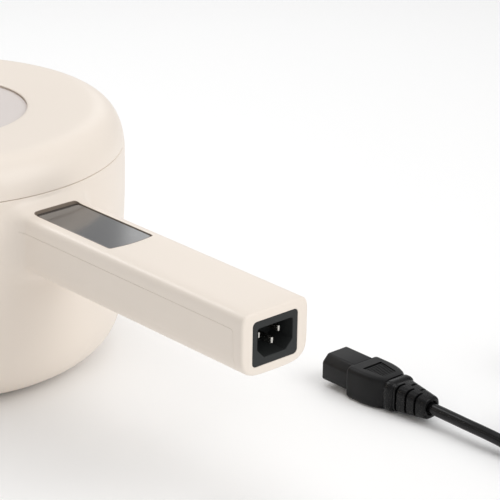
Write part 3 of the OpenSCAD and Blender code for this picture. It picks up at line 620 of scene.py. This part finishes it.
def handle_point(a, inset=0.0):
    """(y, z) on the handle's outline and the outward direction there. The top is nearly
    flat with tight corners, the underside rounder."""
    p = 8 if math.sin(a) >= 0 else 4
    w, h = handle_w / 2 - inset, handle_h / 2 - inset
    y, z = w * signed_power(math.cos(a), 2 / p), h * signed_power(math.sin(a), 2 / p)
    out = Vector((signed_power(y / w, p - 1) / w, signed_power(z / h, p - 1) / h)).normalized()
    return y, z, out


def handle_loop(x, inset=0.0):
    return [(x, y, handle_z + z) for y, z, _ in (handle_point(a, inset) for a in ring_angles)]


def root_loop(along, grow, sink=0.0):
    """The handle's outline where it spreads out onto the drum: along is 0 on the drum and
    1 where the curve ends, grow is how much of the spread is left."""
    loop = []
    for a in ring_angles:
        y, z, out = handle_point(a)
        reach = (blend_side + (blend_top - blend_side) * max(0.0, out.y)) * grow
        y, z = y + out.x * reach, handle_z + z + out.y * reach
        z = min(z, drum_top - 0.1)
        loop.append((math.sqrt(drum_radius(z) ** 2 - y * y) + blend_len * along - sink, y, z))
    return loop


def handle_solid(name):
    root_steps = [math.radians(9 * k) for k in range(11)]
    loops = [root_loop(0, 1.1, 9), root_loop(0, 1.1, 0.06)]
    loops += [root_loop(1 - math.cos(a), 1 - math.sin(a)) for a in root_steps]
    loops += [handle_loop(x) for x in (136, 160, 190, 220, 250, 275, 292, handle_end - end_edge)]
    for k in range(1, 5):
        a = math.radians(22.5 * k)
        loops.append(handle_loop(handle_end - end_edge * (1 - math.sin(a)),
                                 end_edge * (1 - math.cos(a))))
    return solid(name, loops)


def handle_cavity(end):
    """The handle's hollow, up to x = end."""
    return solid("cavity", [handle_loop(x, 2.6) for x in (100, end)])


def drum_core():
    """Keeps the handle's pieces out of the drum's hollow."""
    spokes = [(115.2 * math.cos(math.radians(3 * k)), 115.2 * math.sin(math.radians(3 * k)))
              for k in range(120)]
    return slab("core", spokes, 0, 200)


def cover_zone(gap):
    """The space of the lower cover, seen from the side, less a gap all round."""
    outline = rounded([(120 + 0.1 * gap, split_z - gap, 0), (120 + 0.1 * gap, 60, 0),
                       (300.6 - gap, 60, 0), (297.9 - gap, split_z - gap, 2.2)], 6)
    return solid("zone", [[(p[0], y, p[1]) for p in outline] for y in (-45, 45)])


glass_x0, glass_x1, glass_w, glass_bulge = 122.25, 191.25, 30.6, 1.4


def panel_outline(grow):
    """The touch panel's outline, bowed out at its end towards the user."""
    end = []
    for k in range(1, 12):
        share = -1 + k / 6
        end.append((glass_x1 - glass_bulge * share ** 2 + 0.4 + grow,
                    share * (glass_w / 2 - 2.4), 0))
    y = glass_w / 2 + grow
    return rounded([(glass_x0 - grow, -y, 2), (glass_x1 - glass_bulge + grow, -y, 2), *end,
                    (glass_x1 - glass_bulge + grow, y, 2), (glass_x0 - grow, y, 2)])


handle_top = handle_solid("handle_top")
inlet_centre = (0, 0, handle_z)
inlet_recess = solid("inlet_recess", [
    across_x(rounded(box_corners(31.3, 25.3, 2.6)), x, inlet_centre) for x in (303, 310)])
inlet_hole = solid("inlet_hole", [
    across_x(rounded(box_corners(27.6, 20.2, 2.1)), x, inlet_centre) for x in (290, 304)])
cut(handle_top, handle_cavity(end_wall), drum_core(), cover_zone(0), inlet_recess, inlet_hole,
    slab("pocket", panel_outline(0.25), 122, 140))
handle_cover = handle_solid("handle_cover")
cut(handle_cover, handle_cavity(handle_end), drum_core())
cut(handle_cover, cover_zone(0.08), keep=True)
screw_holes = [slab("screw_hole", [(x + 3.2 * math.cos(math.radians(10 * k)),
                                    y + 3.2 * math.sin(math.radians(10 * k)))
                                   for k in range(36)], 80, 90.6)
               for x in (200, 264) for y in (-14, 14)]
cut(handle_cover, *screw_holes)


def soften(piece, width, from_x):
    """Rounds a piece's sharp edges by width millimetres, beyond from_x along the handle."""
    shape = bmesh.new()
    shape.from_mesh(piece.data)
    weight = shape.edges.layers.float.new("bevel_weight_edge")
    for edge in shape.edges:
        middle = (edge.verts[0].co + edge.verts[1].co) / 2
        if len(edge.link_faces) == 2 and middle.x > from_x * mm:
            edge[weight] = float(edge.calc_face_angle() > math.radians(50))
    shape.to_mesh(piece.data)
    shape.free()
    bevel = piece.modifiers.new("soft_edges", "BEVEL")
    bevel.limit_method = "WEIGHT"
    bevel.width = width * mm
    bevel.segments = 2
    bevel.use_clamp_overlap = False
    bevel.harden_normals = False


soften(handle_top, 0.15, 121)
soften(handle_cover, 0.12, 125)
stand_in(handle_top, cream_abs, "base", "body_shell", "outer_shell")
stand_in(handle_cover, cream_abs, "base", "handle_cover", "handle_lower_cover")

# ---------- Touch panel ----------
# A pane of 1.5 mm glass set in the pocket, printed dark on its back, with its upper
# edge ground. The keys and digits show through only when it is lit.
glass_top = 123.5
panel_glass = solid("panel_glass", [
    [(p[0], p[1], z) for p in panel_outline(grow)]
    for z, grow in ((glass_top - 1.5, -0.08), (glass_top - 0.35, -0.08), (glass_top, -0.85))],
    sharp=15)
# A thin grey-brown bead fills the gap round the glass as a dark joint and lines the pocket's
# wall where the handle rises to the drum; on that wall its colour is painted shade for the wall in
# shade.
shade_bead = solid("panel_shade_bead", ([
    [(p[0], p[1], z) for p in panel_outline(grow)]
    for z, grow in ((122, -0.05), (122, 0.24), (140, 0.24), (140, -0.05))], True))
cut(shade_bead, handle_solid("trim"), keep=True)
painted_shade_sealant = moulded("cured_painted_shade_sealant", "8f8174", 0.4, 0.5 * mm, 0.01 * mm, IOR=1.45)
stand_in(shade_bead, painted_shade_sealant, "base", "panel_glass", "touch_glass")

# Back-printed glass: near black below a mirror-smooth face; one faint ring is printed
# for the key nearest the user.
glass_print, shader = new_material("back_printed_glass", Roughness=0.12, IOR=1.52,
                                   Coat_Weight=1.0, Coat_Roughness=0.12)
key_place = add_node(glass_print, "ShaderNodeMapping",
                     {"Location": (-181 * mm, -8.5 * mm, -glass_top * mm)},
                     {"Vector": place_on(glass_print)})
far = add_node(glass_print, "ShaderNodeVectorMath", {"operation": "LENGTH"},
               {0: key_place.outputs["Vector"]})
ring = add_node(glass_print, "ShaderNodeMapRange",
                {"From Min": 1.5 * mm, "From Max": 1.9 * mm, "interpolation_type": "SMOOTHSTEP"},
                {"Value": far.outputs["Value"]})
ring_out = add_node(glass_print, "ShaderNodeMapRange",
                    {"From Min": 2.0 * mm, "From Max": 2.4 * mm, "To Min": 1.0, "To Max": 0.0,
                     "interpolation_type": "SMOOTHSTEP"}, {"Value": far.outputs["Value"]})
mark = add_node(glass_print, "ShaderNodeMath", {"operation": "MULTIPLY"},
                {0: ring.outputs["Result"], 1: ring_out.outputs["Result"]})
paint(glass_print, shader,
      mixed(glass_print, linear("202124"), linear("565758"), mark.outputs["Value"]))
stand_in(panel_glass, glass_print, "base", "panel_glass", "touch_glass")

# ---------- Mains inlet ----------
# Three-pin appliance inlet snapped into the end wall, its front flush with the face:
# glass-filled nylon with a keyed cavity, and nickel-plated brass pins.
cavity_w, cavity_h, cavity_depth, key = 24.4, 16.9, 16.5, 4.9


def cavity_outline(radius):
    return rounded([(-cavity_w / 2, cavity_h / 2, radius),
                    (-cavity_w / 2, key - cavity_h / 2, 0.8),
                    (key - cavity_w / 2, -cavity_h / 2, 0.8),
                    (cavity_w / 2 - key, -cavity_h / 2, 0.8),
                    (cavity_w / 2, key - cavity_h / 2, 0.8),
                    (cavity_w / 2, cavity_h / 2, radius)])


inlet = solid(
    "inlet",
    [across_x(rounded(box_corners(27.4, 20, 2)), x, inlet_centre) for x in (281, 303)]
    + rounded_bar(lambda x: rounded(box_corners(31, 25, 2.5)), 303, handle_end, 0.1, 0.3,
                  inlet_centre))
cut(inlet, solid("cavity", [across_x(cavity_outline(1.6), x, inlet_centre)
                            for x in (handle_end - cavity_depth, 310)]))
soften(inlet, 0.35, 304.5)
# Glass-filled nylon: dark grey and dull, its grain a little coarse.
inlet_nylon = moulded("glass_filled_nylon", "292b2b", 0.55, 0.4 * mm, 0.02 * mm, 0.05,
                      Specular_IOR_Level=0.3)
stand_in(inlet, inlet_nylon, "base", "inlet_plastic", "inlet_body")

pins = []
for (y, z), tip in zip(blades, (300.5, 300.5, 303)):
    pins.append([across_x(rounded(box_corners(w, h, 0.35), 2), x, (0, y, handle_z + z))
                 for x, w, h in ((273, 2, 4), (tip - 1.6, 2, 4), (tip - 0.6, 1.5, 3.5),
                                 (tip - 0.15, 1.0, 2.9), (tip, 0.7, 2.4))])
inlet_blades = solid("inlet_blades", *pins, sharp=50)
stand_in(inlet_blades, pin_nickel, "base", "pin_nickel", "inlet_pins")

# ---------- Lid ----------
# The lid's outer shell, moulded in the same cream ABS. Its shoulder carries on the
# drum's wall, and its flat top has a shallow round inset.
inset_r, inset_depth, inset_t, lid_t = 58.7, 2.5, 1.2, 2.4
lid_bottom = seam_z + seam_gap / 2
inset_floor = lid_top - inset_depth
seat_z = inset_floor - inset_t
lid_outside = [(shoulder_radius(lid_bottom) - 0.35, lid_bottom),
               (shoulder_radius(lid_bottom) - 0.08, lid_bottom + 0.1)]
for k in range(26):
    a = math.radians(3 + 87 * k / 25)
    z = shoulder_z + shoulder_h * math.sin(a) ** (2 / shoulder_power)
    r = shoulder_c + shoulder_w * math.cos(a) ** (2 / shoulder_power)
    if z > lid_bottom + 0.5:
        lid_outside.append((r, z))
lid_outside += [(92, lid_top), (84, lid_top - 0.06), (75, lid_top - 0.2), (66, lid_top - 0.4)]
lid_outside += [(inset_r + 1.9, lid_top - 0.5), (inset_r + 0.9, lid_top - 0.66),
                (inset_r + 0.3, lid_top - 0.9), (inset_r, lid_top - 1.3),
                (inset_r + 0.7, lid_top - 1.8), (inset_r + 0.7, seat_z), (4, seat_z)]
lid_inside = [(4, seat_z - lid_t), (inset_r + 1.2, seat_z - lid_t), (inset_r + 2.2, lid_top - lid_t),
              (shoulder_c, lid_top - lid_t)]
lid_inside += [(shoulder_radius(z, lid_t), z) for z in (151, 149, 146, 142, 137, lid_bottom)]
lid_cover = turned("lid_cover", lid_outside + lid_inside, 256, True)
stand_in(lid_cover, cream_abs, "lid", "lid_plastic", "lid_shell")

# The inset's disc: a thin moulded plate in a slightly greyer, colder tone.
dress(nodes["lid_inset_disc"],
      moulded("moulded_grey_plate", "d9d1cd", 0.45, 0.5 * mm, 0.01 * mm, 0.02, IOR=1.5))

# The knob: a turned-looking cap on a waist, pulled down by a screw from below.
knob_line = [(0.01, inset_floor), (13.4, inset_floor), (13.6, inset_floor + 0.2),
             (11.6, inset_floor + 1.4), (10.5, inset_floor + 3.6), (10.3, inset_floor + 6.2),
             (11.2, inset_floor + 8.4), (13.6, inset_floor + 10.2), (17.4, inset_floor + 11.3),
             (20.4, inset_floor + 11.9)]
knob_line += [(19 + 3 * math.cos(math.radians(a)), inset_floor + 14 + 3 * math.sin(math.radians(a)))
              for a in range(-36, 91, 18)]
knob_line += [(14, inset_floor + 16.8), (7, inset_floor + 16.55), (0.01, inset_floor + 16.5)]
knob = turned("knob", knob_line, 96)
stand_in(knob, cream_abs, "lid", "knob_plastic", "lid_knob")

# The steam vent's cap: a low cream button with two crossing slits, pressed into the
# grommet.
vent_centre = (-78, 0)
vent_line = [(2.4, lid_top - 8), (4.1, lid_top - 8), (4.1, lid_top), (7.3, lid_top),
             (7.6, lid_top + 0.3), (7.6, lid_top + 1.5), (7.1, lid_top + 2.3),
             (6, lid_top + 2.8), (3, lid_top + 3), (0.3, lid_top + 3), (0.3, lid_top + 1.5),
             (2.4, lid_top + 1.5)]
vent_cap = turned("vent_cap", vent_line, 64, True, vent_centre)
cut(vent_cap, *[slab("slit", [(vent_centre[0] + sx * w, sy * h) for sx, sy in
                              ((1, 1), (-1, 1), (-1, -1), (1, -1))], lid_top + 0.7, lid_top + 1.6)
                for w, h in ((10, 0.8), (0.8, 10))])
stand_in(vent_cap, cream_abs, "lid", "vent_plastic", "steam_vent_cap")

# Silicone grommet and rim seal: milky, soft, dull, with the faint flow of the mould.
silicone = moulded("moulded_silicone", "d8d8d4", 0.5, 1.2 * mm, 0.02 * mm, 0.03, IOR=1.41,
                   Subsurface_Weight=0.15, Subsurface_Scale=2 * mm)
for name in ("vent_grommet", "lid_seal"):
    dress(nodes[name], silicone)

# The liner: pressed stainless steel with brushed lines 0.3 mm apart.
dress(nodes["lid_liner"],
      metal("brushed_stainless", "c9cacb", 0.3, 0.3 * mm, 0.006 * mm, (0.05, 1, 1)))

# ---------- Feet ----------
# Four rubber feet pressed into round recesses, with a domed rim and a flat tread.
foot_line = [(0.01, 0), (6.2, 0), (7, 0.15), (7.7, 0.7), (8, 1.5), (8, 3.2), (0.01, 3.2)]
foot_ring = 58
foot_angles = [math.radians(45 + 90 * k) for k in range(4)]
rubber_feet = solid("rubber_feet", *[
    turned_shell(foot_line, 48, (foot_ring * math.cos(a), foot_ring * math.sin(a)))
    for a in foot_angles])
# Moulded rubber: dark grey, dull, with a coarse grain.
foot_rubber = moulded("moulded_rubber", "3c3c3c", 0.75, 0.7 * mm, 0.05 * mm, 0.08)
stand_in(rubber_feet, foot_rubber, "base", "foot_rubber", "feet")

# ---------- Base cover and seat ring ----------
# Polypropylene mouldings: the vented cover under the drum, and the heat-resistant
# ring that the cooking pot's rim hangs over. Both are duller than the shell.
dress(nodes["base_cover"],
      moulded("moulded_polypropylene", "dccfc0", 0.55, 0.6 * mm, 0.03 * mm, 0.03, IOR=1.49))
dress(nodes["pot_seat_ring"],
      moulded("moulded_heat_resistant_plastic", "cdc7bf", 0.5, 0.6 * mm, 0.02 * mm, 0.03))

# ---------- Screws ----------
# Zinc-plated steel screws, and stainless ones in the lid: bright, with fine turning
# marks round the head.
zinc = metal("zinc_plated_steel", "c3c5c9", 0.3, 0.2 * mm, 0.004 * mm)
for name in ("base_screws", "plate_screws", "handle_screws", "liner_screws", "knob_screw",
             "knob_washer"):
    dress(nodes[name], zinc)

# ---------- Cooking pot ----------
# Deep-drawn aluminium with a dark non-stick coating inside and out: charcoal with pale
# mineral specks about a millimetre across, a few millimetres apart, under a low gloss.
coating, shader = new_material("speckled_nonstick_coating", IOR=1.38, Specular_IOR_Level=0.5)
place = place_on(coating)
specks = add_node(coating, "ShaderNodeTexVoronoi", {"Scale": 1 / (4 * mm), "Randomness": 1.0},
                  {"Vector": place})
chips = add_node(coating, "ShaderNodeMapRange", {"From Min": 0.1, "From Max": 0.16,
                                                 "To Min": 1.0, "To Max": 0.0},
                 {"Value": specks.outputs["Distance"]})
paint(coating, shader,
      mixed(coating, linear("3a3a3c"), linear("9a9896"), chips.outputs["Result"]))
spray = noise(coating, place, 0.8 * mm, 3.0)
worn(coating, shader, spray, 0.32, 0.46)
raised(coating, shader, spray, 0.02 * mm)
dress(nodes["inner_pot"], coating)

# ---------- Heater ----------
# Die-cast aluminium plate, its face turned flat: pale grey with turning rings about a
# millimetre apart round the pot's axis.
cast_plate, shader = new_material("turned_cast_aluminium", Metallic=1.0)
place = place_on(cast_plate)
rings = add_node(cast_plate, "ShaderNodeTexWave",
                 {"wave_type": "RINGS", "rings_direction": "Z", "Scale": 1 / (3.2 * mm),
                  "Distortion": 0.4, "Detail": 1.0}, {"Vector": place})
grit = noise(cast_plate, place, 1.5 * mm, 4.0)
paint(cast_plate, shader, mixed(cast_plate, linear("a6a8aa"), linear("c6c7c8"), grit))
worn(cast_plate, shader, grit, 0.3, 0.5)
raised(cast_plate, shader, rings.outputs["Fac"], 0.03 * mm, 0.6)
dress(nodes["heating_plate"], cast_plate)

# The element's steel sheath, tinted straw and blue where it runs hot.
sheath, shader = new_material("heat_tinted_sheath", Metallic=1.0)
heat = noise(sheath, place_on(sheath), 14 * mm, 2.0)
tint = add_node(sheath, "ShaderNodeValToRGB", links={"Fac": heat})
tint.color_ramp.elements[0].color = linear("6a5646")
tint.color_ramp.elements[1].color = linear("7d8088")
tint.color_ramp.elements.new(0.5).color = linear("a08a5e")
paint(sheath, shader, tint.outputs["Color"])
worn(sheath, shader, heat, 0.35, 0.55)
dress(nodes["heating_element"], sheath)

# Pressed aluminised sheet under the plate, and turned steel posts between them.
dress(nodes["heat_shield"], metal("aluminised_sheet", "bcbfc2", 0.34, 2.5 * mm, 0.01 * mm))
dress(nodes["shield_posts"], metal("turned_steel", "b4b6b9", 0.3, 0.3 * mm, 0.006 * mm, (1, 1, 9)))
# Glazed ceramic tube of the thermal fuse: off-white and smooth.
dress(nodes["thermal_fuse"],
      moulded("glazed_ceramic", "e9e7e1", 0.25, 2 * mm, 0.01 * mm, 0.03, IOR=1.6))

# ---------- Temperature sensor ----------
# A drawn steel guide, a wire spring, and an aluminium cap that the pot's floor pushes
# down; the bead under the cap is dipped in epoxy.
dress(nodes["sensor_guide"], metal("drawn_steel", "b9bbbe", 0.28, 0.4 * mm, 0.005 * mm, (1, 1, 5)))
dress(nodes["sensor_spring"], metal("spring_wire", "a9abae", 0.25, 0.3 * mm, 0.003 * mm))
dress(nodes["sensor_cap"], metal("drawn_aluminium", "cfd1d3", 0.3, 0.5 * mm, 0.006 * mm))
dress(nodes["sensor_bead"], moulded("dipped_epoxy", "2b2a2e", 0.3, 1 * mm, 0.05 * mm, 0.05))

# ---------- Electronics ----------
# Inside the handle: two glass-epoxy boards, a display behind the panel, chips, a relay
# and capacitors. Green solder mask lies over copper tracks 0.8 mm apart.


def board(name, colour, track_colour):
    """Solder mask over copper: paler lines where the tracks run below it."""
    material, shader = new_material(name, Roughness=0.3, IOR=1.5)
    tracks = add_node(material, "ShaderNodeTexBrick",
                      {"Color1": linear(colour), "Color2": linear(colour),
                       "Mortar": linear(track_colour), "Scale": 1.0, "Mortar Size": 0.3 * mm,
                       "Brick Width": 9 * mm, "Row Height": 1.6 * mm},
                      {"Vector": place_on(material)})
    paint(material, shader, tracks.outputs["Color"])
    return material


for name in ("control_board", "power_board"):
    dress(nodes[name], board("solder_mask_" + name, "14523a", "2f7a56"))
dress(nodes["control_chips"], moulded("moulded_chip_resin", "232324", 0.6, 0.3 * mm, 0.01 * mm, 0.05))
dress(nodes["power_relay"], moulded("moulded_relay_case", "2c4f9e", 0.3, 0.8 * mm, 0.01 * mm, 0.03))
dress(nodes["power_capacitors"],
      moulded("shrunk_capacitor_sleeve", "23264a", 0.25, 3 * mm, 0.02 * mm, 0.05))
dress(nodes["display_module"],
      moulded("laminated_display_film", "4a4b50", 0.2, 2 * mm, 0.003 * mm, 0.03))

# ---------- Wires ----------
# Silicone-sleeved wires, one colour for each conductor, side by side across the handle.
wire_sleeve, shader = new_material("silicone_wire_sleeve", Roughness=0.4, IOR=1.41)
place = place_on(wire_sleeve)
split = add_node(wire_sleeve, "ShaderNodeSeparateXYZ", links={0: place})
side = add_node(wire_sleeve, "ShaderNodeMapRange", {"From Min": -13 * mm, "From Max": 13 * mm},
                {"Value": split.outputs["Y"]})
colours = add_node(wire_sleeve, "ShaderNodeValToRGB", links={"Fac": side.outputs["Result"]})
colours.color_ramp.interpolation = "CONSTANT"
colours.color_ramp.elements[0].color = linear("6b4026")
colours.color_ramp.elements[1].position = 0.6
colours.color_ramp.elements[1].color = linear("2f62b0")
colours.color_ramp.elements.new(0.4).color = linear("a8b93a")
paint(wire_sleeve, shader, colours.outputs["Color"])
raised(wire_sleeve, shader, noise(wire_sleeve, place, 1 * mm, 2.0), 0.02 * mm)
dress(nodes["wire_harness"], wire_sleeve)

# ---------- Floor and light ----------
# A plain white floor and an even white surround. A large soft light stands beyond the
# handle's end and another hangs above.
floor_mesh = bpy.data.meshes.new("floor")
floor_mesh.from_pydata([(-6, -6, 0), (6, -6, 0), (6, 6, 0), (-6, 6, 0)], [], [(0, 1, 2, 3)])
floor = bpy.data.objects.new("floor", floor_mesh)
bpy.context.scene.collection.objects.link(floor)
floor_paint, shader = new_material("white_floor", Base_Color=linear("ffffff"), Roughness=0.7)
dress(floor, floor_paint)

world = bpy.data.worlds.new("studio")
bpy.context.scene.world = world
world.use_nodes = True
world.node_tree.nodes["Background"].inputs["Color"].default_value = linear("ffffff")
world.node_tree.nodes["Background"].inputs["Strength"].default_value = 0.57


def soft_light(name, place, aim, width, power):
    """A square studio light that points at aim."""
    lamp = bpy.data.lights.new(name, "AREA")
    lamp.shape = "SQUARE"
    lamp.size = width
    lamp.energy = power
    light = bpy.data.objects.new(name, lamp)
    bpy.context.scene.collection.objects.link(light)
    light.location = place
    light.rotation_mode = "QUATERNION"
    light.rotation_quaternion = (Vector(place) - Vector(aim)).to_track_quat("Z", "Y")


soft_light("key", (1.9, 0.7, 1.5), (0.15, 0, 0.1), 1.6, 20)
soft_light("top", (0.1, 0.2, 2.2), (0.1, 0, 0.1), 1.8, 7.5)
# A small low light far behind the pot, which the touch panel's glass mirrors.
soft_light("glow", (-0.488, 0.744, 0.49), (0.165, 0.008, 0.1235), 0.3, 0.24)
# Another, high on the left, for the streak of light along the top of the glossy cord.
soft_light("streak", (-0.62, 0.04, 0.92), (0.3, 0.1, 0), 0.45, 2.2)
bpy.context.scene.view_settings.view_transform = "Standard"
